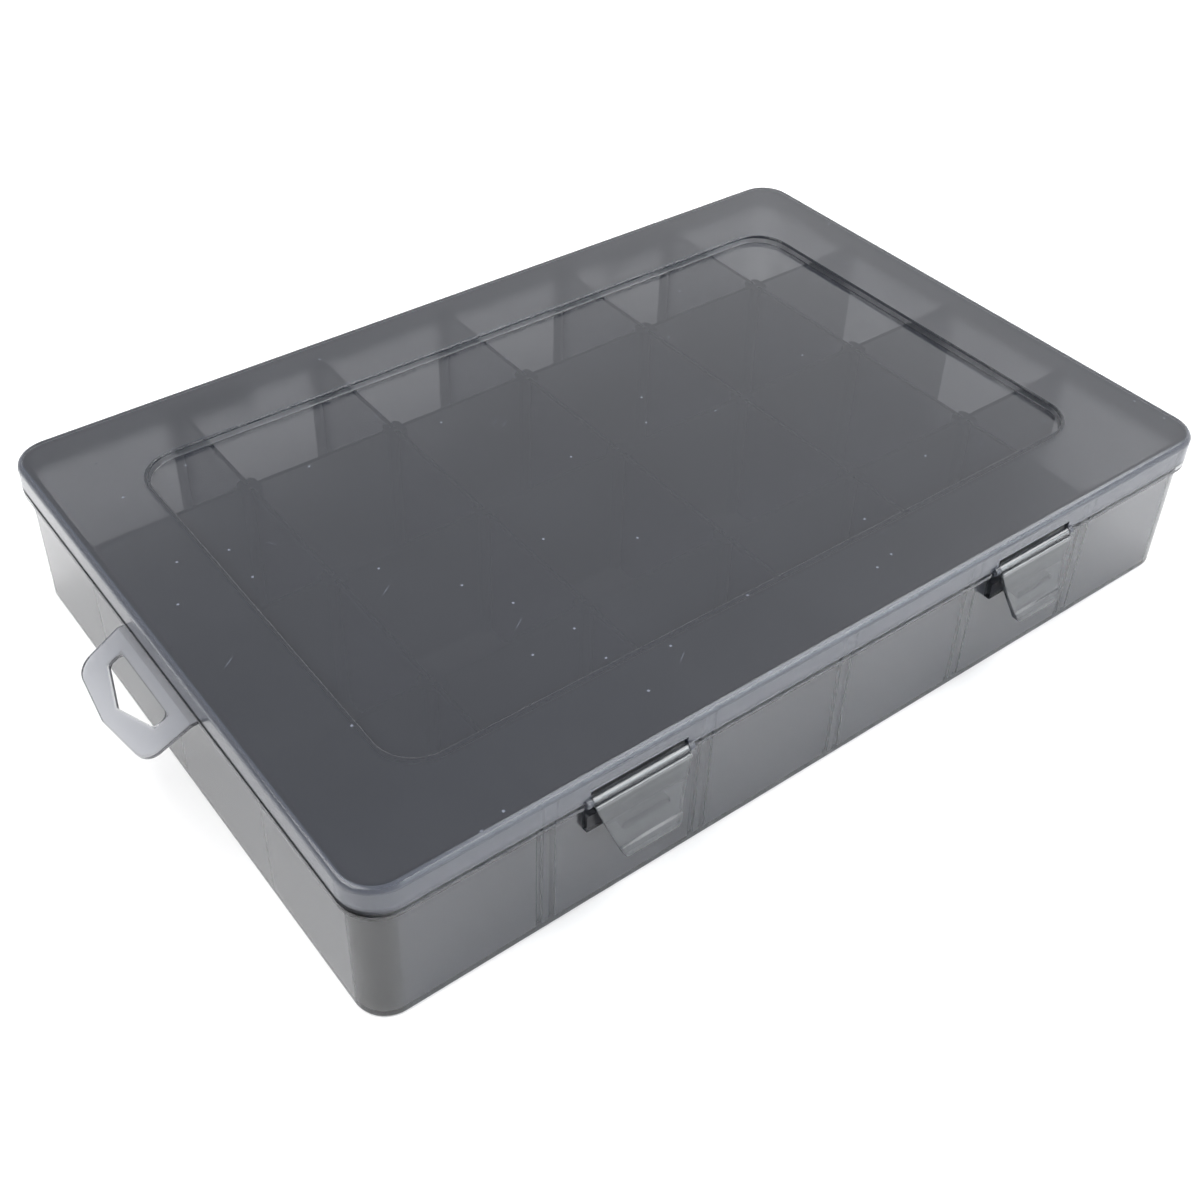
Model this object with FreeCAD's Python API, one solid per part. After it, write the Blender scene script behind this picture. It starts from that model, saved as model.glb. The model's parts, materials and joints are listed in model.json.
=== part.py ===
import FreeCAD, Part
import math
import os

from FreeCAD import Vector

# A flat parts box of smoke-tinted plastic: a tray with moulded row partitions and loose dividers,
# a skirted lid that clips onto two hinge bars at the back, and two latches that clip onto the lid.
# Millimetres. The origin is the middle of the tray's underside, +X runs along the front from left
# to right, +Y runs from front to back and +Z is up.

# Closed box
LID_LENGTH = 330.0
LID_WIDTH = 221.0
BOX_HEIGHT = 55.0

# Lid shell and the sunken panel in its top
LID_TOP = 1.6
SKIRT_WALL = 1.5
SKIRT_HEIGHT = 9.3
LID_CORNER_RADIUS = 12.0
LID_EDGE_RADIUS = 2.0
SKIRT_EDGE_RADIUS = 0.5
PANEL_MARGIN = 30.5
PANEL_CORNER_RADIUS = 13.0
PANEL_DEPTH = 2.6
PANEL_SLOPE_RUN = 0.5
PANEL_EDGE_RADIUS = 0.5

# Tray shell
SKIRT_GAP = 0.4
RIM_GAP = 0.2
TRAY_WALL = 1.7
TRAY_FLOOR = 1.8
TRAY_TAPER = 0.3
TRAY_EDGE_RADIUS = 1.0

# Ledge round the tray, flush with the skirt and a little below it
LEDGE_GAP = 1.0
LEDGE_THICKNESS = 1.1
LEDGE_END_GAP = 0.5

# Compartments: moulded partitions between the rows, loose dividers between the columns
COLUMNS = 6
ROWS = 4
PARTITION_WALL = 1.6
PARTITION_GAP = 0.4
DIVIDER_WALL = 1.5
DIVIDER_GAP = 0.2
DIVIDER_FOOT_RADIUS = 1.6
DIVIDER_TOP_RADIUS = 1.0
SLOT_RIB_WIDTH = 2.3
SLOT_RIB_BEVEL = 1.2
SLOT_DEPTH = 2.8

# Hang tab on the left wall: it runs on level from the ledge, then slopes down, with a pointed slot
# that leaves a rim of plate all round
TAB_HALF_WIDTH = 23.8
TAB_THICKNESS = 1.2
TAB_REACH = 2.0
TAB_SLOPE_DEGREES = 28.0
TAB_SHOULDER = 16.0
TAB_SHOULDER_NARROWING = 1.1
TAB_POINT = 18.8
TAB_CORNER_RADIUS = 6.0
TAB_POINT_RADIUS = 3.0
TAB_NEAR_RIM = 3.4
TAB_SIDE_RIM = 8.5
TAB_SHOULDER_RIM = 7.7
TAB_POINT_RIM = 5.4
SLOT_CORNER_RADIUS = 2.2

# Latches: a split barrel clipped round a bar of the lid, and a flared plate with a finger lip
LATCH_SPACING = 158.0
LATCH_WIDTH = 32.4
LATCH_FOOT_WIDTH = 19.0
LATCH_FOOT_RADIUS = 2.0
LATCH_HEIGHT = 20.4
LATCH_FLARE = 3.4
LATCH_BOW = 0.5
LATCH_WALL = 1.7
LATCH_LIP_HEIGHT = 3.8
LATCH_LIP_STEP = 0.8
LATCH_RIDGE_STEP = 1.1
LATCH_RIDGE_DROP = 0.35
LATCH_RIDGE_RADIUS = 0.5
LATCH_GROOVE_DEPTH = 0.5
LATCH_NECK = 0.8
LATCH_BAR_RADIUS = 0.7
LATCH_BAR_DROP = 0.5
LATCH_BARREL_WALL = 0.65
LATCH_MOUTH = 1.2
LATCH_WALL_GAP = 0.35
LATCH_SIDE_GAP = 0.3
LATCH_NOTCH_HEADROOM = 2.55
EAR_WIDTH = 1.7
EAR_WALL = 0.8
HOOK_WIDTH = 16.0
HOOK_THICKNESS = 2.4
HOOK_GAP = 0.2
HOOK_TIP_GAP = 0.7

# Catches on the tray's front wall, behind the latch plates
CATCH_WIDTH = 35.5
CATCH_PLATE_GAP = 0.35
CATCH_DROP = 3.2
CATCH_HEIGHT = 8.0
CATCH_LEAD = 2.0

# Hinges at the back: bars between lugs on the tray, split hooks on the lid
HINGE_SPACING = 190.0
HINGE_HOOK_WIDTH = 24.0
HINGE_LUG_WIDTH = 3.5
HINGE_SIDE_GAP = 0.4
HINGE_BAR_RADIUS = 1.3
HINGE_HOOK_WALL = 1.3
HINGE_MOUTH = 2.0
HINGE_WALL_GAP = 0.4
HINGE_LUG_WALL = 1.1
HINGE_SKIRT_GAP = 1.7
HINGE_GUSSET = 3.0
HINGE_ARM_HEIGHT = 3.8

# Radial play of a split barrel or hook on its bar
RUNNING_FIT = 0.06

# Points closer than this count as one
SAME_PLACE = 1e-4

# Levels and outlines that follow from the sizes above
SKIRT_BOTTOM = BOX_HEIGHT - SKIRT_HEIGHT
LEDGE_TOP = SKIRT_BOTTOM - LEDGE_GAP
LID_UNDERSIDE = BOX_HEIGHT - LID_TOP
PANEL_UNDERSIDE = LID_UNDERSIDE - PANEL_DEPTH
RIM_TOP = LID_UNDERSIDE - RIM_GAP
PARTITION_TOP = PANEL_UNDERSIDE - PARTITION_GAP
RIM_INSET = SKIRT_WALL + SKIRT_GAP
TRAY_LENGTH = LID_LENGTH - 2 * RIM_INSET
TRAY_WIDTH = LID_WIDTH - 2 * RIM_INSET
TRAY_CORNER_RADIUS = LID_CORNER_RADIUS - RIM_INSET
WALL_ROOT = TRAY_TAPER + TRAY_WALL / 2

# Inside of the tray at floor level, where the taper leaves least room
FLOOR_LENGTH = TRAY_LENGTH - 2 * TRAY_TAPER - 2 * TRAY_WALL
FLOOR_WIDTH = TRAY_WIDTH - 2 * TRAY_TAPER - 2 * TRAY_WALL
COLUMN_PITCH = (FLOOR_LENGTH + DIVIDER_WALL) / COLUMNS
ROW_PITCH = (FLOOR_WIDTH + PARTITION_WALL) / ROWS

# Latch bars on the lid and hinge bars on the tray, as seen from the side
LATCH_BARREL_RADIUS = LATCH_BAR_RADIUS + RUNNING_FIT + LATCH_BARREL_WALL
LATCH_BAR_Y = -(TRAY_WIDTH / 2 + LATCH_WALL_GAP + LATCH_BARREL_RADIUS)
LATCH_BAR_Z = SKIRT_BOTTOM - LATCH_BAR_DROP
HINGE_HOOK_RADIUS = HINGE_BAR_RADIUS + RUNNING_FIT + HINGE_HOOK_WALL
HINGE_LUG_RADIUS = HINGE_BAR_RADIUS + HINGE_LUG_WALL
HINGE_Y = TRAY_WIDTH / 2 + HINGE_WALL_GAP + HINGE_HOOK_RADIUS
HINGE_Z = SKIRT_BOTTOM - HINGE_SKIRT_GAP - HINGE_LUG_RADIUS

# Latch plate in side view: distances below the bar and, for its ridge and back, out from the bar
LIP_TOP = LATCH_HEIGHT - LATCH_LIP_HEIGHT
RIDGE_FRONT = LATCH_BARREL_RADIUS + LATCH_RIDGE_STEP
NECK_BACK = LATCH_BARREL_RADIUS - LATCH_NECK
HOOK_DROP = CATCH_DROP + CATCH_HEIGHT + HOOK_GAP

ORIGIN = Vector(0, 0, 0)
ALONG_X = Vector(1, 0, 0)
ALONG_Y = Vector(0, 1, 0)


def from_above(x, y):
    """Point of a plan view."""
    return Vector(x, y, 0)


def from_front(x, z):
    """Point of a front view."""
    return Vector(x, 0, z)


def from_side(y, z):
    """Point of a side view."""
    return Vector(0, y, z)


def rounded_outline(corners, view):
    """Closed flat wire through corners given as (across, up, radius), each rounded to its radius."""
    points = [view(across, up) for across, up, radius in corners]
    runs = []
    for i, (across, up, radius) in enumerate(corners):
        before = (points[i - 1] - points[i]).normalize()
        after = (points[(i + 1) % len(points)] - points[i]).normalize()
        half_angle = before.getAngle(after) / 2
        bisector = (before + after).normalize()
        centre = points[i] + bisector * (radius / math.sin(half_angle))
        reach = radius / math.tan(half_angle)
        runs.append((points[i] + before * reach, centre - bisector * radius, points[i] + after * reach))
    edges = []
    for i, (start, middle, end) in enumerate(runs):
        previous_end = runs[i - 1][2]
        if (start - previous_end).Length > SAME_PLACE:
            edges.append(Part.LineSegment(previous_end, start).toShape())
        if (end - start).Length > SAME_PLACE:
            edges.append(Part.Arc(start, middle, end).toShape())
    return Part.Wire(edges)


def rectangle(length, width, radius, z):
    """Rounded rectangle about the Z axis, at height z."""
    half_x = length / 2
    half_y = width / 2
    corners = [(-half_x, -half_y), (half_x, -half_y), (half_x, half_y), (-half_x, half_y)]
    wire = rounded_outline([(x, y, radius) for x, y in corners], from_above)
    wire.translate(Vector(0, 0, z))
    return wire


def between(lower, upper):
    """Solid with straight sides between two outlines of the same kind."""
    return Part.makeLoft([lower, upper], True, True)


def block(low, high):
    """Box between two corners."""
    size = Vector(*high) - Vector(*low)
    return Part.makeBox(size.x, size.y, size.z, Vector(*low))


def rod(radius, x, length, y, z):
    """Round bar along X, starting at x."""
    return Part.makeCylinder(radius, length, Vector(x, y, z), ALONG_X)


def side_profile(points, x, length):
    """Solid along X whose side view is the polygon of (y, z) points."""
    corners = [Vector(x, y, z) for y, z in points]
    face = Part.Face(Part.makePolygon(corners + corners[:1]))
    return face.extrude(ALONG_X * length)


def edges_at(shape, z, length, width):
    """Edges that lie flat at height z inside a rectangle about the Z axis."""
    found = []
    for edge in shape.Edges:
        box = edge.BoundBox
        level = max(abs(box.ZMin - z), abs(box.ZMax - z)) < SAME_PLACE
        within_length = max(-box.XMin, box.XMax) < length / 2 + SAME_PLACE
        within_width = max(-box.YMin, box.YMax) < width / 2 + SAME_PLACE
        if level and within_length and within_width:
            found.append(edge)
    return found


def write(shape, name):
    """One STEP file for each piece, with a line that says how it came out."""
    shape.exportStep("parts/" + name + ".step")
    print(name, "solids", len(shape.Solids), "valid", shape.isValid(), "volume", round(shape.Volume, 1))


def row_line(row):
    """Y of the partition between a row and the next, counted from the front."""
    return -FLOOR_WIDTH / 2 - PARTITION_WALL / 2 + row * ROW_PITCH


def column_line(column):
    """X of the divider between a column and the next, counted from the left."""
    return -FLOOR_LENGTH / 2 - DIVIDER_WALL / 2 + column * COLUMN_PITCH


def divider_ends(row):
    """Y of the front and back ends of the dividers in a row, counted from 0 at the front."""
    front = row_line(row) + PARTITION_WALL / 2 + DIVIDER_GAP
    back = row_line(row + 1) - PARTITION_WALL / 2 - DIVIDER_GAP
    return front, back


def latch_middles():
    """X of the left and right latch."""
    return [-LATCH_SPACING / 2, LATCH_SPACING / 2]


def hinge_middles():
    """X of the left and right hinge."""
    return [-HINGE_SPACING / 2, HINGE_SPACING / 2]


def tray_outside():
    """Outer form of the tray, drawn in towards the floor and rounded along its bottom edge."""
    taper = 2 * TRAY_TAPER
    foot = rectangle(TRAY_LENGTH - taper, TRAY_WIDTH - taper, TRAY_CORNER_RADIUS - TRAY_TAPER, 0)
    rim = rectangle(TRAY_LENGTH, TRAY_WIDTH, TRAY_CORNER_RADIUS, RIM_TOP)
    solid = between(foot, rim)
    return solid.makeFillet(TRAY_EDGE_RADIUS, edges_at(solid, 0, TRAY_LENGTH, TRAY_WIDTH))


def tray_inside():
    """Hollow of the tray, with the same taper as the outside."""
    walls = 2 * TRAY_WALL
    radius = TRAY_CORNER_RADIUS - TRAY_WALL
    floor = rectangle(FLOOR_LENGTH, FLOOR_WIDTH, radius - TRAY_TAPER, TRAY_FLOOR)
    rim = rectangle(TRAY_LENGTH - walls, TRAY_WIDTH - walls, radius, RIM_TOP)
    return between(floor, rim)


def partitions():
    """Moulded walls between the rows, from end wall to end wall."""
    reach = TRAY_LENGTH / 2
    low = TRAY_FLOOR / 2
    half = PARTITION_WALL / 2
    return [block((-reach, row_line(row) - half, low), (reach, row_line(row) + half, PARTITION_TOP))
            for row in range(1, ROWS)]


def slot_rib(x, y, side, end):
    """Upright rib beside a divider at x, on its side (-1 or 1), at its end y that faces end (-1 or 1)."""
    near = x + side * (DIVIDER_WALL / 2 + DIVIDER_GAP)
    far = near + side * SLOT_RIB_WIDTH
    tip = y - end * SLOT_DEPTH
    root = y + end * (DIVIDER_GAP + PARTITION_WALL / 2)
    bevel = min(SLOT_RIB_BEVEL, SLOT_RIB_WIDTH - DIVIDER_GAP)
    outline = rounded_outline([
        (near, root, 0), (near, tip, 0), (far - side * bevel, tip, 0),
        (far, tip + end * bevel, 0), (far, root, 0)], from_above)
    rib = Part.Face(outline).extrude(Vector(0, 0, PARTITION_TOP - TRAY_FLOOR / 2))
    rib.translate(Vector(0, 0, TRAY_FLOOR / 2))
    return rib


def slot_ribs():
    """Pairs of upright ribs that hold both ends of every divider."""
    ribs = []
    for row in range(ROWS):
        front, back = divider_ends(row)
        for column in range(1, COLUMNS):
            for side in (-1, 1):
                ribs.append(slot_rib(column_line(column), front, side, -1))
                ribs.append(slot_rib(column_line(column), back, side, 1))
    return ribs


def ledge_break(middle, half_width, end):
    """Room in the ledge for a latch or a hinge hook, at the front (end -1) or the back (end 1)."""
    near, far = sorted((end * TRAY_WIDTH / 2, end * LID_WIDTH))
    return block((middle - half_width, near, 0), (middle + half_width, far, BOX_HEIGHT))


def ledge():
    """Narrow ledge round the tray under the skirt, broken at the latches and the hinge hooks."""
    low = LEDGE_TOP - LEDGE_THICKNESS
    outer = between(rectangle(LID_LENGTH, LID_WIDTH, LID_CORNER_RADIUS, low),
                    rectangle(LID_LENGTH, LID_WIDTH, LID_CORNER_RADIUS, LEDGE_TOP))
    length = TRAY_LENGTH - 2 * WALL_ROOT
    width = TRAY_WIDTH - 2 * WALL_ROOT
    radius = TRAY_CORNER_RADIUS - WALL_ROOT
    inner = between(rectangle(length, width, radius, low), rectangle(length, width, radius, LEDGE_TOP))
    latch_half = LATCH_WIDTH / 2 + LATCH_SIDE_GAP + EAR_WIDTH + LEDGE_END_GAP
    hook_half = HINGE_HOOK_WIDTH / 2 + HINGE_SIDE_GAP
    breaks = [ledge_break(middle, latch_half, -1) for middle in latch_middles()]
    breaks += [ledge_break(middle, hook_half, 1) for middle in hinge_middles()]
    return outer.cut([inner] + breaks)


def hang_tab():
    """Level strip and sloping plate with a pointed slot, on the left wall."""
    top = LEDGE_TOP
    bend = -(LID_LENGTH / 2 + TAB_REACH)
    root = -(TRAY_LENGTH / 2 - WALL_ROOT)
    strip = block((bend, -TAB_HALF_WIDTH, top - TAB_THICKNESS), (root, TAB_HALF_WIDTH, top))
    shoulder = TAB_HALF_WIDTH - TAB_SHOULDER_NARROWING
    plate_outline = rounded_outline([
        (0, -TAB_HALF_WIDTH, 0),
        (-TAB_SHOULDER, -shoulder, TAB_CORNER_RADIUS),
        (-TAB_POINT, 0, TAB_POINT_RADIUS),
        (-TAB_SHOULDER, shoulder, TAB_CORNER_RADIUS),
        (0, TAB_HALF_WIDTH, 0)], from_above)
    slot_half = TAB_HALF_WIDTH - TAB_SIDE_RIM
    slot_shoulder = TAB_SHOULDER - TAB_SHOULDER_RIM
    slot_outline = rounded_outline([
        (-TAB_NEAR_RIM, -slot_half, SLOT_CORNER_RADIUS),
        (-slot_shoulder, -slot_half, SLOT_CORNER_RADIUS),
        (TAB_POINT_RIM - TAB_POINT, 0, 0),
        (-slot_shoulder, slot_half, SLOT_CORNER_RADIUS),
        (-TAB_NEAR_RIM, slot_half, SLOT_CORNER_RADIUS)], from_above)
    thickness = Vector(0, 0, -TAB_THICKNESS)
    plate = Part.Face(plate_outline).extrude(thickness).cut(Part.Face(slot_outline).extrude(thickness))
    plate.rotate(ORIGIN, ALONG_Y, -TAB_SLOPE_DEGREES)
    plate.translate(Vector(bend, 0, top))
    return strip.fuse(plate)


def catches():
    """Wedge-topped ribs on the front wall that the latch hooks snap under."""
    wall = -TRAY_WIDTH / 2
    root = wall + WALL_ROOT
    face = LATCH_BAR_Y - NECK_BACK + CATCH_PLATE_GAP
    top = LATCH_BAR_Z - CATCH_DROP
    bottom = top - CATCH_HEIGHT
    profile = [(root, top), (wall, top), (face, top - CATCH_LEAD), (face, bottom), (root, bottom)]
    return [side_profile(profile, middle - CATCH_WIDTH / 2, CATCH_WIDTH) for middle in latch_middles()]


def hinge_lugs():
    """Pairs of gusseted lugs on the back wall, each pair with a round bar across."""
    solids = []
    root = TRAY_WIDTH / 2 - WALL_ROOT
    radius = HINGE_LUG_RADIUS
    inner = HINGE_HOOK_WIDTH / 2 + HINGE_SIDE_GAP
    bar_length = 2 * (inner + HINGE_LUG_WIDTH)
    profile = [(root, HINGE_Z + radius), (HINGE_Y, HINGE_Z + radius), (HINGE_Y, HINGE_Z - radius),
               (root, HINGE_Z - radius - HINGE_GUSSET)]
    for middle in hinge_middles():
        for start in (middle - inner - HINGE_LUG_WIDTH, middle + inner):
            solids.append(side_profile(profile, start, HINGE_LUG_WIDTH))
            solids.append(rod(radius, start, HINGE_LUG_WIDTH, HINGE_Y, HINGE_Z))
        solids.append(rod(HINGE_BAR_RADIUS, middle - bar_length / 2, bar_length, HINGE_Y, HINGE_Z))
    return solids


def tray():
    """The moulded tray: shell, partitions, slot ribs, ledge, hang tab, catches and hinge lugs."""
    outside = tray_outside()
    shell = outside.cut(tray_inside())
    inner_walls = partitions()
    inner_works = inner_walls[0].multiFuse(inner_walls[1:] + slot_ribs()).common(outside)
    outer_works = [ledge(), hang_tab()] + catches() + hinge_lugs()
    return shell.multiFuse([inner_works] + outer_works).removeSplitter()


def divider(row, column):
    """Loose plate standing on the floor between two pairs of slot ribs."""
    front, back = divider_ends(row)
    outline = rounded_outline([
        (front, TRAY_FLOOR, DIVIDER_FOOT_RADIUS),
        (back, TRAY_FLOOR, DIVIDER_FOOT_RADIUS),
        (back, PARTITION_TOP, DIVIDER_TOP_RADIUS),
        (front, PARTITION_TOP, DIVIDER_TOP_RADIUS)], from_side)
    plate = Part.Face(outline).extrude(ALONG_X * DIVIDER_WALL)
    plate.translate(ALONG_X * (column_line(column) - DIVIDER_WALL / 2))
    return plate


def sunken_panel(shell):
    """Lid top with its middle pressed down, the wall thickness kept along the slope."""
    panel_length = LID_LENGTH - 2 * PANEL_MARGIN
    panel_width = LID_WIDTH - 2 * PANEL_MARGIN
    low_length = panel_length - 2 * PANEL_SLOPE_RUN
    low_width = panel_width - 2 * PANEL_SLOPE_RUN
    low_radius = PANEL_CORNER_RADIUS - PANEL_SLOPE_RUN
    corner_shift = LID_TOP * math.tan(math.atan2(PANEL_DEPTH, PANEL_SLOPE_RUN) / 2)
    panel_top = BOX_HEIGHT - PANEL_DEPTH

    def outline(grow, z):
        return rectangle(low_length + 2 * grow, low_width + 2 * grow, low_radius + grow, z)

    pocket = between(outline(0, panel_top), outline(PANEL_SLOPE_RUN, BOX_HEIGHT))
    swell = between(outline(corner_shift, PANEL_UNDERSIDE),
                    outline(corner_shift + PANEL_SLOPE_RUN, LID_UNDERSIDE))
    solid = shell.fuse(swell).cut(pocket).removeSplitter()
    rims = edges_at(solid, BOX_HEIGHT, panel_length, panel_width)
    rims += edges_at(solid, panel_top, panel_length, panel_width)
    return solid.makeFillet(PANEL_EDGE_RADIUS, rims)


def lid_shell():
    """Skirted lid with rounded top and bottom edges and the sunken panel."""
    outer = between(rectangle(LID_LENGTH, LID_WIDTH, LID_CORNER_RADIUS, SKIRT_BOTTOM),
                    rectangle(LID_LENGTH, LID_WIDTH, LID_CORNER_RADIUS, BOX_HEIGHT))
    outer = outer.makeFillet(LID_EDGE_RADIUS, edges_at(outer, BOX_HEIGHT, LID_LENGTH, LID_WIDTH))
    outer = outer.makeFillet(SKIRT_EDGE_RADIUS, edges_at(outer, SKIRT_BOTTOM, LID_LENGTH, LID_WIDTH))
    length = LID_LENGTH - 2 * SKIRT_WALL
    width = LID_WIDTH - 2 * SKIRT_WALL
    radius = LID_CORNER_RADIUS - SKIRT_WALL
    inner = between(rectangle(length, width, radius, SKIRT_BOTTOM),
                    rectangle(length, width, radius, LID_UNDERSIDE))
    return sunken_panel(outer.cut(inner))


def latch_notch(middle):
    """Cut in the front skirt that a latch barrel turns in."""
    half = LATCH_WIDTH / 2 + LATCH_SIDE_GAP
    outer = LATCH_BAR_Y - LATCH_BARREL_RADIUS
    inner = -TRAY_WIDTH / 2
    top = LATCH_BAR_Z + LATCH_BARREL_RADIUS + LATCH_NOTCH_HEADROOM
    return block((middle - half, outer, SKIRT_BOTTOM), (middle + half, inner, top))


def latch_bar(middle):
    """Round bar across a latch notch, with an ear at each end that grows out of the skirt."""
    half = LATCH_WIDTH / 2 + LATCH_SIDE_GAP
    radius = LATCH_BAR_RADIUS + EAR_WALL
    root = -(LID_WIDTH / 2 - SKIRT_WALL / 2)
    bar = rod(LATCH_BAR_RADIUS, middle - half - EAR_WIDTH, 2 * (half + EAR_WIDTH), LATCH_BAR_Y, LATCH_BAR_Z)
    ears = []
    for start in (middle - half - EAR_WIDTH, middle + half):
        ears.append(rod(radius, start, EAR_WIDTH, LATCH_BAR_Y, LATCH_BAR_Z))
        ears.append(block((start, LATCH_BAR_Y, LATCH_BAR_Z - radius),
                          (start + EAR_WIDTH, root, LATCH_BAR_Z + radius)))
    return bar.multiFuse(ears)


def hinge_hook(middle):
    """Split hook that snaps over a hinge bar, on an arm that grows out of the back skirt."""
    start = middle - HINGE_HOOK_WIDTH / 2
    end = middle + HINGE_HOOK_WIDTH / 2
    skirt = LID_WIDTH / 2
    root = skirt - SKIRT_WALL / 2
    tail = HINGE_Y + HINGE_HOOK_RADIUS
    arm_top = SKIRT_BOTTOM + HINGE_ARM_HEIGHT
    profile = [(root, HINGE_Z), (root, arm_top), (skirt, arm_top), (tail, SKIRT_BOTTOM), (tail, HINGE_Z)]
    arm = side_profile(profile, start, HINGE_HOOK_WIDTH)
    barrel = rod(HINGE_HOOK_RADIUS, start, HINGE_HOOK_WIDTH, HINGE_Y, HINGE_Z)
    bore = rod(HINGE_BAR_RADIUS + RUNNING_FIT, start, HINGE_HOOK_WIDTH, HINGE_Y, HINGE_Z)
    mouth = block((start, HINGE_Y - HINGE_MOUTH / 2, HINGE_Z - 2 * HINGE_HOOK_RADIUS),
                  (end, HINGE_Y + HINGE_MOUTH / 2, HINGE_Z))
    return arm.fuse(barrel).cut(bore).cut(mouth)


def lid():
    """The moulded lid: shell, notches, latch bars and hinge hooks."""
    shell = lid_shell().cut([latch_notch(middle) for middle in latch_middles()])
    bars = [latch_bar(middle) for middle in latch_middles()]
    hooks = [hinge_hook(middle) for middle in hinge_middles()]
    return shell.multiFuse(bars + hooks).removeSplitter()


def plate_face(down):
    """How far the bowed face of a latch plate stands out from the bar, at a distance below it."""
    share = (down - LATCH_RIDGE_DROP) / (LIP_TOP - LATCH_RIDGE_DROP)
    return RIDGE_FRONT + LATCH_FLARE * share - 4 * LATCH_BOW * share * (1 - share)


def latch_plate(middle):
    """Flared plate in front of the barrel: ridge, bowed face and finger lip, as one side view along X."""
    def at(out, down):
        return Vector(middle - LATCH_WIDTH / 2, LATCH_BAR_Y - out, LATCH_BAR_Z - down)

    half_down = (LATCH_RIDGE_DROP + LIP_TOP) / 2
    face_foot = plate_face(LIP_TOP)
    lip_face = face_foot + LATCH_LIP_STEP
    lip_spread = LATCH_FLARE / (LIP_TOP - LATCH_RIDGE_DROP) * LATCH_LIP_HEIGHT
    ridge_down = LATCH_RIDGE_DROP + LATCH_RIDGE_RADIUS
    ridge_out = plate_face(ridge_down) - LATCH_RIDGE_RADIUS
    bulge = LATCH_RIDGE_RADIUS / math.sqrt(2)
    ridge_back = at(ridge_out, LATCH_RIDGE_DROP)
    ridge_middle = at(ridge_out + bulge, ridge_down - bulge)
    ridge_front = at(plate_face(ridge_down), ridge_down)
    front_middle = at(plate_face(half_down), half_down)
    front_foot = at(face_foot, LIP_TOP)
    lip_corner = at(lip_face, LIP_TOP + LATCH_LIP_STEP / 2)
    lip_foot = at(lip_face + lip_spread, LATCH_HEIGHT)
    back_foot = at(face_foot + lip_spread - LATCH_WALL, LATCH_HEIGHT)
    back_lip = at(face_foot - LATCH_WALL, LIP_TOP)
    back_middle = at(plate_face(half_down) - LATCH_WALL, half_down)
    back_top = at(NECK_BACK, LATCH_RIDGE_DROP + LATCH_GROOVE_DEPTH)
    curves = [
        Part.LineSegment(back_top, ridge_back),
        Part.Arc(ridge_back, ridge_middle, ridge_front),
        Part.Arc(ridge_front, front_middle, front_foot),
        Part.LineSegment(front_foot, lip_corner),
        Part.LineSegment(lip_corner, lip_foot),
        Part.LineSegment(lip_foot, back_foot),
        Part.LineSegment(back_foot, back_lip),
        Part.Arc(back_lip, back_middle, back_top)]
    face = Part.Face(Part.Wire([curve.toShape() for curve in curves]))
    return face.extrude(ALONG_X * LATCH_WIDTH)


def latch_hook(middle):
    """Barb on the back of the plate, just under the catch, rooted in the middle of the plate's wall."""
    tip = -(TRAY_WIDTH / 2 + HOOK_TIP_GAP)
    top = LATCH_BAR_Z - HOOK_DROP
    upper_root = LATCH_BAR_Y - plate_face(HOOK_DROP) + LATCH_WALL / 2
    lower_root = LATCH_BAR_Y - plate_face(HOOK_DROP + HOOK_THICKNESS) + LATCH_WALL / 2
    profile = [(upper_root, top), (tip, top), (tip, top - HOOK_THICKNESS / 2),
               (lower_root, top - HOOK_THICKNESS)]
    return side_profile(profile, middle - HOOK_WIDTH / 2, HOOK_WIDTH)


def latch_front(middle):
    """Front view of the latch as a solid: straight barrel, then sides that draw in to the foot."""
    half = LATCH_WIDTH / 2
    foot = LATCH_FOOT_WIDTH / 2
    outline = rounded_outline([
        (-half, LATCH_BARREL_RADIUS, 0),
        (-half, -LATCH_BARREL_RADIUS, 0),
        (-foot, -LATCH_HEIGHT, LATCH_FOOT_RADIUS),
        (foot, -LATCH_HEIGHT, LATCH_FOOT_RADIUS),
        (half, -LATCH_BARREL_RADIUS, 0),
        (half, LATCH_BARREL_RADIUS, 0)], from_front)
    depth = LATCH_HEIGHT
    solid = Part.Face(outline).extrude(ALONG_Y * (2 * depth))
    solid.translate(Vector(middle, LATCH_BAR_Y - depth, LATCH_BAR_Z))
    return solid


def latch(middle):
    """One latch: split barrel, flared plate and hook."""
    start = middle - LATCH_WIDTH / 2
    end = middle + LATCH_WIDTH / 2
    barrel = rod(LATCH_BARREL_RADIUS, start, LATCH_WIDTH, LATCH_BAR_Y, LATCH_BAR_Z)
    bore = rod(LATCH_BAR_RADIUS + RUNNING_FIT, start, LATCH_WIDTH, LATCH_BAR_Y, LATCH_BAR_Z)
    mouth = block((start, LATCH_BAR_Y, LATCH_BAR_Z - LATCH_MOUTH / 2),
                  (end, LATCH_BAR_Y + 2 * LATCH_BARREL_RADIUS, LATCH_BAR_Z + LATCH_MOUTH / 2))
    body = barrel.multiFuse([latch_plate(middle), latch_hook(middle)]).common(latch_front(middle))
    return body.cut(bore).cut(mouth).removeSplitter()


os.makedirs("parts", exist_ok=True)
write(tray(), "base_tray")
write(lid(), "lid")
for side, latch_middle in zip(("left", "right"), latch_middles()):
    write(latch(latch_middle), "latch_" + side)
for row_number in range(ROWS):
    for column_number in range(1, COLUMNS):
        write(divider(row_number, column_number), f"divider_row{row_number + 1}_{column_number}")
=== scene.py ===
# %% [markdown]
# # A flat parts box in smoke-tinted plastic
# The box is a shallow tray with a hinged lid, two flip latches and loose dividers. All of it is
# moulded in one grey see-through plastic, so the picture is made by light that passes through
# several thin walls. This lesson loads the solids, sets up a camera, a floor and soft light, and
# then makes the plastic, the dividers and the softened edges step by step.

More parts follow.
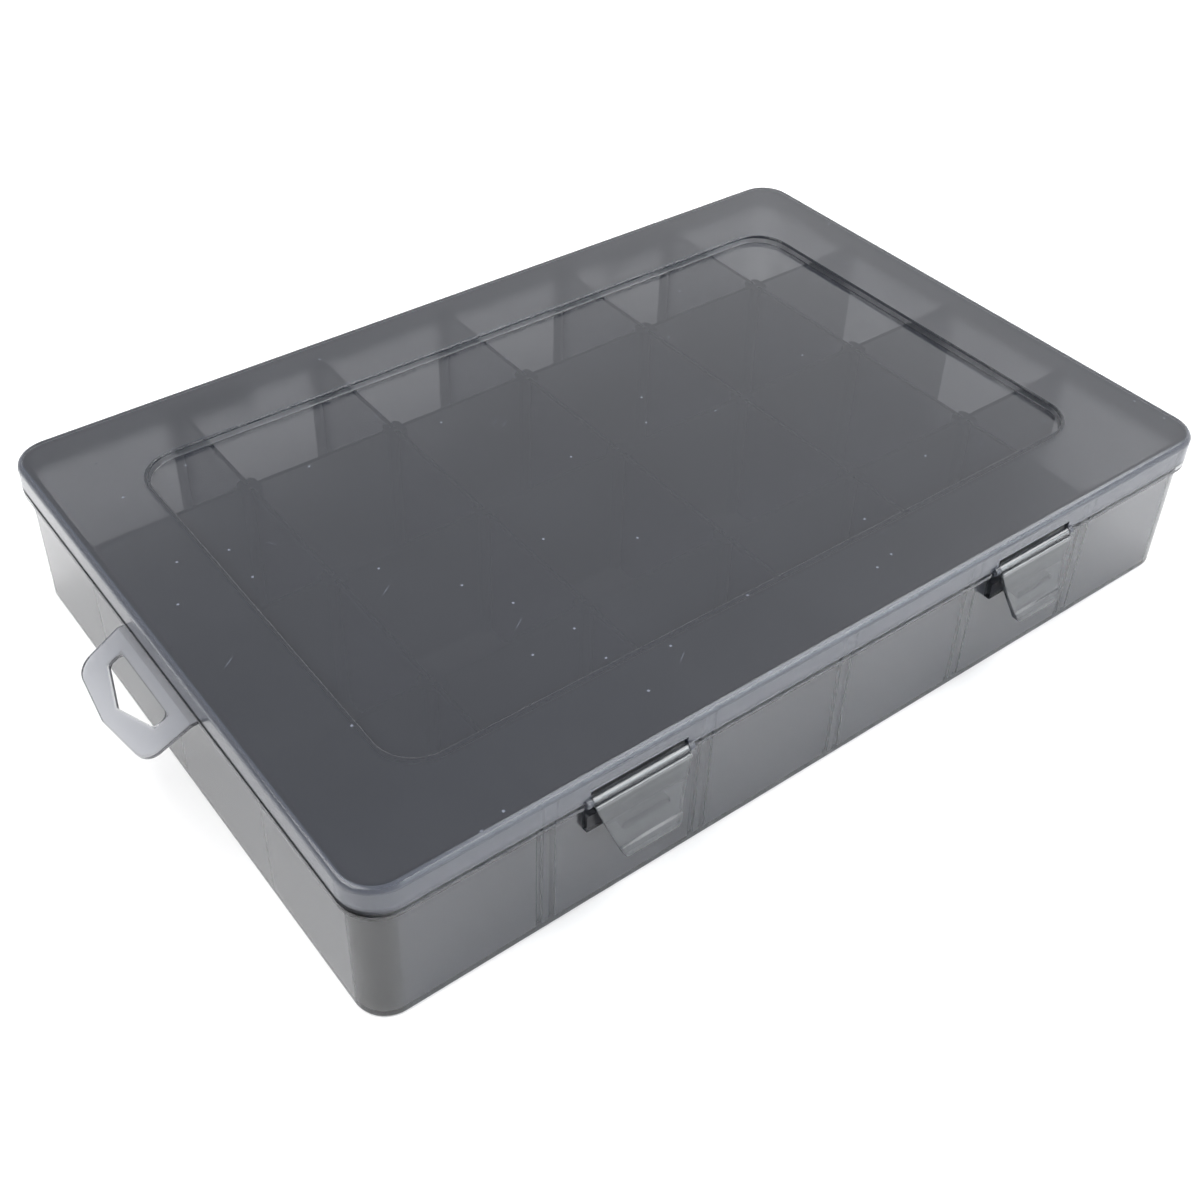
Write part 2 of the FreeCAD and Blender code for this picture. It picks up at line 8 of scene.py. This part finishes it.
# %% Load the solids
import json
import math

import bmesh
import bpy
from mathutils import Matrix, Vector


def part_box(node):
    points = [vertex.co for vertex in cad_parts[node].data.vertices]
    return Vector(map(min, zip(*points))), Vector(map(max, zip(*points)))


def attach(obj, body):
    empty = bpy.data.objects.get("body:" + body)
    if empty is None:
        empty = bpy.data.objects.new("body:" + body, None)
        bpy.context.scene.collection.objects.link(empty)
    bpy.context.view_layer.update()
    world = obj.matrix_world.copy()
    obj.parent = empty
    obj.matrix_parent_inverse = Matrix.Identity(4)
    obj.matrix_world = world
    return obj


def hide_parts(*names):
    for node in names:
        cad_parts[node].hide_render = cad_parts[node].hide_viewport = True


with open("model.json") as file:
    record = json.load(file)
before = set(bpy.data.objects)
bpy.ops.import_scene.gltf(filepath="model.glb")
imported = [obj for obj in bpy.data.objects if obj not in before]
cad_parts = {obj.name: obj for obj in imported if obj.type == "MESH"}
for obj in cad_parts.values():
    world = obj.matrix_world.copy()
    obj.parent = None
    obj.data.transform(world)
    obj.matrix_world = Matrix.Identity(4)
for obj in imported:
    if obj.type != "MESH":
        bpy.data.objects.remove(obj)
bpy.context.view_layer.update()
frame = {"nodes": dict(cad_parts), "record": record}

# %% [markdown]
# ## Camera
# The camera stands above the front left corner and looks down across the lid. Its place, its turn
# and its focal length come from the straight edges of the box in the picture. The lens axis meets
# the picture above its middle, as in a picture that was cropped, so a small vertical shift is set.

# %% Place the camera
MM = 0.001
IMAGE_PIXELS = 1200
FOCAL_PIXELS = 1595.6
AXIS_ROW = 494.4
CAMERA_PLACE = Vector((-268.6, -327.2, 367.0)) * MM
CAMERA_TILT = 51.67
CAMERA_ROLL = -1.50
CAMERA_HEADING = -37.36

lens = bpy.data.cameras.new("camera")
lens.lens = lens.sensor_width * FOCAL_PIXELS / IMAGE_PIXELS
lens.shift_y = (AXIS_ROW - IMAGE_PIXELS / 2) / IMAGE_PIXELS
camera = bpy.data.objects.new("camera", lens)
camera.location = CAMERA_PLACE
camera.rotation_euler = [math.radians(angle) for angle in (CAMERA_TILT, CAMERA_ROLL, CAMERA_HEADING)]
bpy.context.scene.collection.objects.link(camera)
bpy.context.scene.camera = camera
print("lens", round(lens.lens, 2), "mm, shift", round(lens.shift_y, 3))

# %% [markdown]
# ## Writing shader maths as expressions
# A shader tree is easier to read as formulas than as a list of links. The class below wraps one
# output of a node. Sums and products of such wires add Math nodes, and its one method makes any
# other node from its type, its settings and its sockets.

# %% One class for shader maths
class Wire:
    """An output of a node in a shader tree. Operators on it add Math nodes to that tree."""

    def __init__(self, tree, socket=None):
        self.tree = tree
        self.socket = socket

    def node(self, kind, settings=None, sockets=None, output=0):
        """New node of that type: its settings first, then its sockets, as values or as wires."""
        made = self.tree.nodes.new(kind)
        for name, value in (settings or {}).items():
            setattr(made, name, value)
        for name, value in (sockets or {}).items():
            if isinstance(value, Wire):
                self.tree.links.new(value.socket, made.inputs[name])
            else:
                made.inputs[name].default_value = value
        return Wire(self.tree, made.outputs[output] if len(made.outputs) else None)

    def other(self, output):
        """Another output of the same node."""
        return Wire(self.tree, self.socket.node.outputs[output])

    def math(self, operation, first, second=0.0):
        return self.node("ShaderNodeMath", {"operation": operation}, {0: first, 1: second})

    def __add__(self, other):
        return self.math("ADD", self, other)

    def __sub__(self, other):
        return self.math("SUBTRACT", self, other)

    def __rsub__(self, other):
        return self.math("SUBTRACT", other, self)

    def __mul__(self, other):
        return self.math("MULTIPLY", self, other)

    def __abs__(self):
        return self.math("ABSOLUTE", self)

    def at_least(self, other):
        return self.math("MAXIMUM", self, other)

    def at_most(self, other):
        return self.math("MINIMUM", self, other)

    def root(self):
        return self.math("SQRT", self)

    def rise(self, low, high):
        """0 below low, 1 above high, and a smooth step between them."""
        return self.node("ShaderNodeMapRange", {"interpolation_type": "SMOOTHSTEP"},
                         {"Value": self, "From Min": low, "From Max": high})

    __radd__ = __add__
    __rmul__ = __mul__


print("shader maths ready")

# %% [markdown]
# ## Floor and light
# The box stands on a plain white table that glows a little, as a light table does, so hardly any
# shadow is left. Clear plastic shows what is around it, so a white world does most of the work. A
# long softbox overhead on the right draws the highlights along the latch barrels, a second one on
# the left fills the shadows, and a bluish window in front tints the front wall. Light has to pass
# many walls, so its paths may be long.

# %% Floor, world and lights
FLOOR_SIZE = 12.0
FLOOR_GAP = 0.2 * MM
SKY_LEVEL = 1.33
SKY_TO_RIGHT = 0.6
SKY_TO_TOP = 1.0
SKY_LEAST = 0.25
LONGEST_PATH = 40

scene = bpy.context.scene
scene.view_settings.view_transform = "Standard"
for limit in ("max_bounces", "transmission_bounces", "transparent_max_bounces"):
    setattr(scene.cycles, limit, LONGEST_PATH)

world = bpy.data.worlds.new("white_room")
world.use_nodes = True
world.node_tree.nodes.clear()
sky = Wire(world.node_tree)
direction = sky.node("ShaderNodeTexCoord", output="Generated")
to_right = sky.node("ShaderNodeSeparateXYZ", {}, {0: direction})
upward = to_right.other("Z")
glow = (SKY_LEVEL + to_right * SKY_TO_RIGHT - upward * SKY_TO_TOP).at_least(SKY_LEAST)
backdrop = sky.node("ShaderNodeBackground", {}, {"Color": (1.0, 1.0, 1.0, 1.0), "Strength": glow})
sky.node("ShaderNodeOutputWorld", {}, {"Surface": backdrop})
scene.world = world

half_floor = FLOOR_SIZE / 2
floor_mesh = bpy.data.meshes.new("table_top")
floor_corners = [(x * half_floor, y * half_floor, -FLOOR_GAP)
                 for x, y in ((-1, -1), (1, -1), (1, 1), (-1, 1))]
floor_mesh.from_pydata(floor_corners, [], [(0, 1, 2, 3)])
floor = bpy.data.objects.new("table_top", floor_mesh)
scene.collection.objects.link(floor)

white_paint = bpy.data.materials.new("white_table")
white_paint.use_nodes = True
TABLE_LOOK = {"Base Color": (0.9, 0.9, 0.9, 1.0), "Roughness": 0.7, "Specular IOR Level": 0.2,
              "Emission Color": (1.0, 1.0, 1.0, 1.0), "Emission Strength": 0.08}
for socket_name, value in TABLE_LOOK.items():
    white_paint.node_tree.nodes["Principled BSDF"].inputs[socket_name].default_value = value
floor_mesh.materials.append(white_paint)


def softbox(name, place, aim, width, height, power, colour=(1.0, 1.0, 1.0)):
    """A rectangular area light at that place, turned to its aim, with its width level."""
    light = bpy.data.lights.new(name, "AREA")
    light.shape = "RECTANGLE"
    light.size = width
    light.size_y = height
    light.energy = power
    light.color = colour
    lamp = bpy.data.objects.new(name, light)
    lamp.location = place
    lamp.rotation_euler = (Vector(aim) - Vector(place)).to_track_quat("-Z", "Y").to_euler()
    scene.collection.objects.link(lamp)


MIDDLE = (0.0, 0.0, 0.0)
WINDOW_COLOUR = (0.82, 0.92, 1.0)
softbox("key_softbox", place=(0.98, -0.7, 1.5), aim=(0.0, -0.7, 0.0), width=2.6, height=1.1, power=42.0)
softbox("fill_softbox", place=(-0.9, 0.2, 1.1), aim=MIDDLE, width=1.2, height=1.2, power=22.0)
softbox("front_window", place=(0.9, -1.6, 0.7), aim=MIDDLE, width=1.2, height=1.2, power=12.0,
        colour=WINDOW_COLOUR)
print("lights", sorted(light.name for light in bpy.data.lights))

# %% [markdown]
# ## Smoke-tinted plastic
# The plastic is clear with a grey dye all through it, so a long path is darker than a short one and
# an edge seen end-on is nearly black. A refracting surface over an absorbing volume does exactly
# this, and it needs real wall thicknesses, which the solids have. This kind of plastic also scatters
# a little light by itself, as thin milk does, and that haze is bluish. A second, opaque shader gives
# the haze, and a small factor mixes it in. Where light hardly gets in, as in the gap under the skirt,
# a third, nearly black shader stands for the shade.

# %% The plastic
PLASTIC_IOR = 1.49
POLISH_ROUGHNESS = 0.08
NONE = 0.0
WHITE = (1.0, 1.0, 1.0, 1.0)
DYE_COLOUR = (0.537, 0.538, 0.546, 1.0)
HAZE_COLOUR = (0.64, 0.70, 0.88, 1.0)
SHADE_COLOUR = (0.01, 0.01, 0.012, 1.0)


def smoke_plastic(name, dye_density, haze_colour, finish):
    """Clear plastic with a grey dye. Its finish gives roughness, haze, normal, polish and shade."""
    material = bpy.data.materials.new(name)
    material.use_nodes = True
    material.node_tree.nodes.clear()
    tree = Wire(material.node_tree)
    roughness, haze, normal, polish, shade = finish(tree)
    skin = {"Roughness": roughness, "IOR": PLASTIC_IOR, "Normal": normal,
            "Coat Weight": polish, "Coat Roughness": POLISH_ROUGHNESS}
    clear = tree.node("ShaderNodeBsdfPrincipled", {},
                      {"Base Color": WHITE, "Transmission Weight": 1.0, **skin})
    cloudy = tree.node("ShaderNodeBsdfPrincipled", {}, {"Base Color": haze_colour, **skin})
    surface = tree.node("ShaderNodeMixShader", {}, {0: haze, 1: clear, 2: cloudy})
    if isinstance(shade, Wire):
        dark = tree.node("ShaderNodeBsdfDiffuse", {}, {"Color": SHADE_COLOUR})
        surface = tree.node("ShaderNodeMixShader", {}, {0: shade, 1: surface, 2: dark})
    dye = tree.node("ShaderNodeVolumeAbsorption", {}, {"Color": DYE_COLOUR, "Density": dye_density})
    tree.node("ShaderNodeOutputMaterial", {}, {"Surface": surface, "Volume": dye})
    return material


def place_in_mm(tree):
    """Object coordinates in millimetres, as one vector and as three numbers."""
    metres = tree.node("ShaderNodeTexCoord", output="Object")
    place = tree.node("ShaderNodeVectorMath", {"operation": "SCALE"}, {0: metres, "Scale": 1 / MM})
    x = tree.node("ShaderNodeSeparateXYZ", {}, {0: place})
    return place, x, x.other("Y"), x.other("Z")


print("plastic with index", PLASTIC_IOR)

# %% [markdown]
# ## Traces of moulding and use
# A moulded face is never quite even: it has long shallow waves and a fine skin. A used lid also has
# specks of dust and a few short scratches. Noise gives the first two. For the marks, each cell of a
# stretched Voronoi pattern holds one spot, and only a small share of the cells shows it.

# %% Clouds, ripple and marks
CLOUD_DETAIL = 2.0
WAVE_SIZE = 28.0
WAVE_HEIGHT = 0.008
SKIN_SIZE = 3.0
SKIN_HEIGHT = 0.0003
MARK_EDGE = (0.03, 0.07)
LOT_STEP = 0.001


def clouds(tree, place, size):
    """Soft noise from 0 to 1 whose lumps are about that many millimetres wide."""
    return tree.node("ShaderNodeTexNoise", {},
                     {"Vector": place, "Scale": 1 / size, "Detail": CLOUD_DETAIL})


def moulding_ripple(tree, place):
    """The faint unevenness of a moulded face: long waves and a fine skin."""
    height = clouds(tree, place, WAVE_SIZE) * WAVE_HEIGHT + clouds(tree, place, SKIN_SIZE) * SKIN_HEIGHT
    return tree.node("ShaderNodeBump", {}, {"Strength": 1.0, "Distance": MM, "Height": height})


def marks(tree, place, length, width, turn, share):
    """Small oval marks with that length and width between them, turned, on a share of the places."""
    turned = tree.node("ShaderNodeMapping", {"vector_type": "TEXTURE"},
                       {"Vector": place, "Rotation": (0.0, 0.0, turn), "Scale": (length, width, 1.0)})
    spot = tree.node("ShaderNodeTexVoronoi", {"voronoi_dimensions": "2D"}, {"Vector": turned, "Scale": 1.0})
    lot = tree.node("ShaderNodeSeparateColor", {}, {0: spot.other("Color")})
    return (1 - spot.rise(*MARK_EDGE)) * lot.rise(1 - share, 1 - share + LOT_STEP)


print("ripple of", WAVE_HEIGHT, "mm over", WAVE_SIZE, "mm")

# %% [markdown]
# ## Where a finish begins and ends
# The mould is polished in some places and blasted in others, and the borders follow rounded outlines.
# They could be painted by hand. The distance from a rounded rectangle, as a formula of the place in
# plan, is exact and stays sharp at any scale.

# %% Distances in plan
LEFT_CORNER = (-164.0, -152.0)
CORNER_FADE = 0.85


def rounded_corner(across, along, radius):
    """Distance from an outline with a rounded corner, given how far a place lies over its two sides."""
    over_x = (across + radius).at_least(0.0)
    over_y = (along + radius).at_least(0.0)
    corner = (over_x * over_x + over_y * over_y).root() - radius
    return corner + (across.at_least(along) + radius).at_most(0.0)


def rounded_box(x, y, half_x, half_y, radius):
    """Distance in millimetres from the outline of a rounded rectangle, negative inside it."""
    return rounded_corner(abs(x) - half_x, abs(y) - half_y, radius)


def left_side(x):
    """1 along the left side of the box, falling to a small share round its corners."""
    return 1 - x.rise(*LEFT_CORNER) * CORNER_FADE


print("left side fades between", LEFT_CORNER)

# %% [markdown]
# ## Finish of the lid
# The sunken panel is polished. The margin round it is satin on top and frosted below, so the cells
# under it blur. The skirt is hazier, and its foot on the left gets painted shade.

# %% Lid
PANEL_OUTLINE = (134.5, 80.0, 13.0)
SKIRT_INSIDE = (163.2, 108.7, 10.2)
PANEL_MIDDLE = 51.6
PANEL_DEPTH = 2.6
PANEL_EDGE = (-0.6, 0.6)
SKIRT_EDGE = (-0.1, 0.1)
TOP_EDGE = (-0.2, 0.2)
FOOT_EDGE = (46.7, 47.7)
FOOT_SHADE = 0.9
PANEL_ROUGHNESS = 0.05
MARGIN_ROUGHNESS = 0.09
FROST_ROUGHNESS = 0.16
LID_ROUGHNESS_SPREAD = 0.02
LID_HAZE = 0.026
SKIRT_HAZE = 0.05
LID_HAZE_SPREAD = 0.008
DUST_HAZE = 0.16
SCRATCH_HAZE = 0.08
ROUGHNESS_CLOUD = 9.0
HAZE_CLOUD = 40.0
# Length, width, turn and share of the marks
DUST = (8.0, 8.0, 0.0, 0.05)
LONG_SCRATCHES = (45.0, 2.5, 0.6, 0.02)
SHORT_SCRATCHES = (30.0, 2.0, -0.9, 0.015)


def lid_finish(tree):
    """Glossy panel, satin margin that is frosted below, hazier skirt with painted shade at its foot, and dust
    and scratches on top.
    """
    place, x, y, z = place_in_mm(tree)
    margin = rounded_box(x, y, *PANEL_OUTLINE).rise(*PANEL_EDGE)
    skirt = rounded_box(x, y, *SKIRT_INSIDE).rise(*SKIRT_EDGE)
    top = (z - (PANEL_MIDDLE + margin * PANEL_DEPTH)).rise(*TOP_EDGE)
    below = (1 - top) * (1 - skirt)
    # painted shade: the lowest 1 to 2 mm of the skirt, strong along the left side and weak elsewhere
    foot = skirt * (1 - z.rise(*FOOT_EDGE)) * left_side(x)
    roughness = (PANEL_ROUGHNESS + margin * (MARGIN_ROUGHNESS + below * FROST_ROUGHNESS)
                 + clouds(tree, place, ROUGHNESS_CLOUD) * LID_ROUGHNESS_SPREAD)
    dust = marks(tree, place, *DUST)
    scratches = marks(tree, place, *LONG_SCRATCHES) + marks(tree, place, *SHORT_SCRATCHES)
    haze = (LID_HAZE + skirt * SKIRT_HAZE + clouds(tree, place, HAZE_CLOUD) * LID_HAZE_SPREAD
            + top * (dust * DUST_HAZE + scratches * SCRATCH_HAZE))
    return roughness, haze, moulding_ripple(tree, place), NONE, foot * FOOT_SHADE


LID_DYE = 1980.0
plastics = {"lid_plastic": smoke_plastic("lid_plastic", LID_DYE, HAZE_COLOUR, lid_finish)}
print("lid plastic with dye", LID_DYE)

# %% [markdown]
# ## Finish of the tray
# The tray is glossy outside and satin inside. The hang tab is frosted with clear edges, so it looks
# pale with a thin dark outline. The gap between ledge and skirt gets painted shade, strong on the left,
# and so do the catches behind the latch plates. The upright corners have less haze, because they look darker.

# %% Hang tab
TAB_BEND = -167.0
TAB_SLOPE = math.radians(28)
TAB_ROOT = (-166.0, -164.0)
TAB_POINT = 18.8
TAB_POINT_SLANT = 0.1233
TAB_HALF_WIDTH = 23.8
TAB_SIDE_SLANT = 0.0688
TAB_CORNER_RADIUS = 6.0
SLOT_NEAR = 3.4
SLOT_FAR = 13.4
SLOT_SLANT = 0.3333
SLOT_HALF_WIDTH = 15.3
RIM_WIDTH = (0.35, 0.55)


def tab_rim(x, y):
    """1 on the edges of the hang tab and of its slot, 0 on its faces."""
    out = (TAB_BEND - x) * (1 / math.cos(TAB_SLOPE))
    side = abs(y)
    near, far = RIM_WIDTH
    edge = rounded_corner(out + side * TAB_POINT_SLANT - TAB_POINT,
                          side + out * TAB_SIDE_SLANT - TAB_HALF_WIDTH, TAB_CORNER_RADIUS)
    slot = (out + side * SLOT_SLANT - SLOT_FAR).at_least(SLOT_NEAR - out).at_least(side - SLOT_HALF_WIDTH)
    return edge.rise(-far, -near).at_least(1 - slot.rise(near, far))


print("tab rim", RIM_WIDTH, "mm")

# %% Tray
LID_OUTSIDE = (165.0, 110.5, 12.0)
TRAY_OUTSIDE = (163.1, 108.6, 10.1)
TRAY_INSIDE = (162.1, 107.6, 10.5)
INSIDE_EDGE = (-0.2, 0.2)
GROOVE_BACK = (-0.3, -0.1)
GROOVE_FRONT = (-0.35, -0.15)
GROOVE_FLOOR = (44.45, 44.6)
GROOVE_ROOF = (46.1, 46.6)
GROOVE_SHADE = 0.85
CATCH_FRONT = (-109.3, -109.0)
CATCH_TOP = (43.0, 43.4)
CATCH_SHADE = 0.6
CORNER_ALONG = (151.0, 157.0)
CORNER_ACROSS = (96.0, 102.0)
CORNER_CLEARNESS = 0.9
TRAY_ROUGHNESS = 0.07
INSIDE_ROUGHNESS = 0.38
TAB_ROUGHNESS = 0.4
TRAY_ROUGHNESS_SPREAD = 0.03
TRAY_HAZE = 0.027
TRAY_HAZE_SPREAD = 0.01
TAB_HAZE = 0.05


def tray_finish(tree):
    """Satin inside, glossy outside, frosted hang tab with clear edges, painted shade in the gap under the
    skirt and on the catches.
    """
    place, x, y, z = place_in_mm(tree)
    inside = 1 - rounded_box(x, y, *TRAY_INSIDE).rise(*INSIDE_EDGE)
    tab = (1 - x.rise(*TAB_ROOT)) * (1 - tab_rim(x, y))
    past_wall = rounded_box(x, y, *TRAY_OUTSIDE).rise(*GROOVE_BACK)
    past_lid = rounded_box(x, y, *LID_OUTSIDE).rise(*GROOVE_FRONT)
    # painted shade in the gap between ledge and skirt, strong along the left side and weak elsewhere
    groove = past_wall * (1 - past_lid) * z.rise(*GROOVE_FLOOR) * (1 - z.rise(*GROOVE_ROOF)) * left_side(x)
    # painted shade on the catches behind the latch plates
    catch = (1 - y.rise(*CATCH_FRONT)) * (1 - z.rise(*CATCH_TOP))
    upright_corner = abs(x).rise(*CORNER_ALONG) * abs(y).rise(*CORNER_ACROSS)
    roughness = (TRAY_ROUGHNESS + inside * INSIDE_ROUGHNESS + tab * TAB_ROUGHNESS
                 + clouds(tree, place, ROUGHNESS_CLOUD) * TRAY_ROUGHNESS_SPREAD)
    cloudiness = TRAY_HAZE + clouds(tree, place, HAZE_CLOUD) * TRAY_HAZE_SPREAD
    haze = cloudiness * (1 - upright_corner * CORNER_CLEARNESS) + tab * TAB_HAZE
    return roughness, haze, moulding_ripple(tree, place), NONE, groove * GROOVE_SHADE + catch * CATCH_SHADE


TRAY_DYE = 840.0
plastics["tray_plastic"] = smoke_plastic("tray_plastic", TRAY_DYE, HAZE_COLOUR, tray_finish)
print("tray plastic with dye", TRAY_DYE)

# %% [markdown]
# ## Finish of the latches and the dividers
# The latches look darker and more opaque than the walls, so they get more haze of a darker grey. Their
# barrels carry a bright line of light, which a clear coat strengthens. The dividers are satin all
# over.

# %% Latches and dividers
LATCH_HAZE_COLOUR = (0.095, 0.104, 0.117, 1.0)
LATCH_ROUGHNESS = 0.12
LATCH_ROUGHNESS_SPREAD = 0.04
LATCH_HAZE = 0.36
LATCH_HAZE_SPREAD = 0.04
LATCH_HAZE_CLOUD = 20.0
BARREL_FOOT = (43.5, 44.1)
SMALL_CLOUD = 6.0
DIVIDER_ROUGHNESS = 0.22
DIVIDER_ROUGHNESS_SPREAD = 0.06
DIVIDER_HAZE = 0.035


def latch_finish(tree):
    """Glossy and hazier than the rest, so that the catch behind the plate hardly shows."""
    place, x, y, z = place_in_mm(tree)
    roughness = LATCH_ROUGHNESS + clouds(tree, place, SMALL_CLOUD) * LATCH_ROUGHNESS_SPREAD
    haze = LATCH_HAZE + clouds(tree, place, LATCH_HAZE_CLOUD) * LATCH_HAZE_SPREAD
    return roughness, haze, moulding_ripple(tree, place), z.rise(*BARREL_FOOT), NONE


def divider_finish(tree):
    """Satin all over."""
    place, x, y, z = place_in_mm(tree)
    roughness = DIVIDER_ROUGHNESS + clouds(tree, place, SMALL_CLOUD) * DIVIDER_ROUGHNESS_SPREAD
    return roughness, DIVIDER_HAZE, moulding_ripple(tree, place), NONE, NONE


plastics["latch_plastic"] = smoke_plastic("latch_plastic", TRAY_DYE, LATCH_HAZE_COLOUR, latch_finish)
plastics["divider_plastic"] = smoke_plastic("divider_plastic", TRAY_DYE, HAZE_COLOUR, divider_finish)
slot_of = {row["node"]: row["material_slot"] for row in frame["record"]["subparts"]}
for name, node in frame["nodes"].items():
    node.data.materials.clear()
    node.data.materials.append(plastics[slot_of[name]])
print("plastics", sorted(plastics))

# %% [markdown]
# ## Loose dividers
# Twenty equal plates stand between the moulded partitions, and each can be lifted out of its pair of
# ribs. They could be twenty modelled boxes, but one rule gives them all: a rectangle with two corner
# radii, a thickness and a place. A Geometry Nodes tree holds that rule, and each plate is one use of
# it. A narrow bevel then softens the edges, because a sharp moulded edge would catch no light.

# %% The rule for one divider
def plate_tree():
    """Geometry Nodes tree of an upright plate, larger radii at its foot than at its top."""
    tree = bpy.data.node_groups.new("divider_plate", "GeometryNodeTree")
    inputs = {}
    for name, kind in (("Length", "NodeSocketFloat"), ("Height", "NodeSocketFloat"),
                       ("Thickness", "NodeSocketFloat"), ("Foot Radius", "NodeSocketFloat"),
                       ("Top Radius", "NodeSocketFloat"), ("Middle", "NodeSocketVector"),
                       ("Material", "NodeSocketMaterial")):
        inputs[name] = tree.interface.new_socket(name, in_out="INPUT", socket_type=kind).identifier
    tree.interface.new_socket("Plate", in_out="OUTPUT", socket_type="NodeSocketGeometry")

    def node(kind, settings=None, sockets=None):
        made = tree.nodes.new(kind)
        for name, value in (settings or {}).items():
            setattr(made, name, value)
        for name, value in (sockets or {}).items():
            if isinstance(value, bpy.types.NodeSocket):
                tree.links.new(value, made.inputs[name])
            else:
                made.inputs[name].default_value = value
        return made

    given = node("NodeGroupInput").outputs
    outline = node("GeometryNodeCurvePrimitiveQuadrilateral", {"mode": "RECTANGLE"},
                   {"Width": given["Length"], "Height": given["Height"]}).outputs[0]
    height = node("ShaderNodeSeparateXYZ", {}, {0: node("GeometryNodeInputPosition").outputs[0]}).outputs["Y"]
    at_top = node("FunctionNodeCompare", {"operation": "GREATER_THAN"}, {"A": height}).outputs[0]
    radius = node("GeometryNodeSwitch", {"input_type": "FLOAT"},
                  {"Switch": at_top, "False": given["Foot Radius"], "True": given["Top Radius"]}).outputs[0]
    rounded = node("GeometryNodeFilletCurve", {"mode": "POLY"},
                   {"Curve": outline, "Count": CORNER_STEPS, "Radius": radius}).outputs[0]
    back = node("GeometryNodeFillCurve", {"mode": "NGONS"}, {"Curve": rounded}).outputs[0]
    front = node("GeometryNodeExtrudeMesh", {"mode": "FACES"},
                 {"Mesh": back, "Offset Scale": given["Thickness"], "Individual": False}).outputs[0]
    both = node("GeometryNodeJoinGeometry")
    tree.links.new(front, both.inputs[0])
    tree.links.new(node("GeometryNodeFlipFaces", {}, {"Mesh": back}).outputs[0], both.inputs[0])
    closed = node("GeometryNodeMergeByDistance", {},
                  {"Geometry": both.outputs[0], "Distance": WELD}).outputs[0]
    half = node("ShaderNodeMath", {"operation": "MULTIPLY"}, {0: given["Thickness"], 1: -0.5}).outputs[0]
    shift = node("ShaderNodeCombineXYZ", {}, {"X": half}).outputs[0]
    place = node("ShaderNodeVectorMath", {"operation": "ADD"}, {0: given["Middle"], 1: shift}).outputs[0]
    upright = node("GeometryNodeTransform", {},
                   {"Geometry": closed, "Translation": place, "Rotation": UPRIGHT}).outputs[0]
    real = node("GeometryNodeRealizeInstances", {}, {"Geometry": upright}).outputs[0]
    done = node("GeometryNodeSetMaterial", {}, {"Geometry": real, "Material": given["Material"]}).outputs[0]
    node("NodeGroupOutput", {}, {"Plate": done})
    return tree, inputs


CORNER_STEPS = 5
WELD = 0.001 * MM
UPRIGHT = (math.radians(90), 0.0, math.radians(90))
divider_rule, divider_inputs = plate_tree()
print("divider rule with inputs", sorted(divider_inputs))

# %% Twenty dividers
FOOT_RADIUS = 1.6 * MM
TOP_RADIUS = 1.0 * MM
DIVIDER_EDGE = 0.25 * MM
BEVEL_STEPS = 2
SHARP_ANGLE = math.radians(40)


def soften_edges(piece, width):
    """A narrow two-step bevel on the sharp edges of a piece."""
    bevel = piece.modifiers.new("soft_edges", "BEVEL")
    bevel.width = width
    bevel.segments = BEVEL_STEPS
    bevel.limit_method = "ANGLE"
    bevel.angle_limit = SHARP_ANGLE


def divider(name):
    """One plate in the place of the CAD node of that name."""
    low, high = (Vector(corner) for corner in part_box(name))
    size = high - low
    maker = bpy.data.objects.new("divider_maker", bpy.data.meshes.new("divider_maker"))
    scene.collection.objects.link(maker)
    rule = maker.modifiers.new("plate", "NODES")
    rule.node_group = divider_rule
    values = {"Length": size.y, "Height": size.z, "Thickness": size.x, "Foot Radius": FOOT_RADIUS,
              "Top Radius": TOP_RADIUS, "Middle": (low + high) / 2, "Material": plastics["divider_plastic"]}
    for input_name, value in values.items():
        rule[divider_inputs[input_name]] = value
    mesh = bpy.data.meshes.new_from_object(maker.evaluated_get(bpy.context.evaluated_depsgraph_get()))
    bpy.data.objects.remove(maker)
    plate = bpy.data.objects.new("plate_" + name, mesh)
    scene.collection.objects.link(plate)
    soften_edges(plate, DIVIDER_EDGE)
    return plate


divider_names = [name for name, slot in slot_of.items() if slot == "divider_plastic"]
for name in divider_names:
    plate = divider(name)
    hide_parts(name)
    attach(plate, "base")
print("dividers", len(divider_names), "faces each", len(plate.data.polygons))

# %% [markdown]
# ## Latches
# Each latch is a small moulded part: a thin barrel, a ridge with a groove behind it, a bowed plate and
# a finger lip. Its solid has the right form with knife-sharp edges. A moulded edge is rounded by a few tenths
# of a millimetre and shows as a thin line of light, so a welded copy of the solid gets a bevel.

# %% Latches with softened edges
LATCH_EDGE = 0.25 * MM
FLAT_ANGLE = math.radians(1)


def softened_copy(name, body, width):
    """A welded copy of a CAD node with bevelled edges, which stands for that node."""
    shape = bmesh.new()
    shape.from_mesh(frame["nodes"][name].data)
    bmesh.ops.remove_doubles(shape, verts=shape.verts, dist=WELD)
    bmesh.ops.dissolve_limit(shape, angle_limit=FLAT_ANGLE, verts=shape.verts, edges=shape.edges)
    mesh = bpy.data.meshes.new("soft_" + name)
    shape.to_mesh(mesh)
    shape.free()
    mesh.polygons.foreach_set("use_smooth", [True] * len(mesh.polygons))
    mesh.set_sharp_from_angle(angle=SHARP_ANGLE)
    mesh.materials.append(plastics[slot_of[name]])
    piece = bpy.data.objects.new("soft_" + name, mesh)
    scene.collection.objects.link(piece)
    soften_edges(piece, width)
    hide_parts(name)
    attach(piece, body)
    return piece


for name in ("latch_left", "latch_right"):
    latch = softened_copy(name, name, LATCH_EDGE)
    print(latch.name, "faces", len(latch.data.polygons))
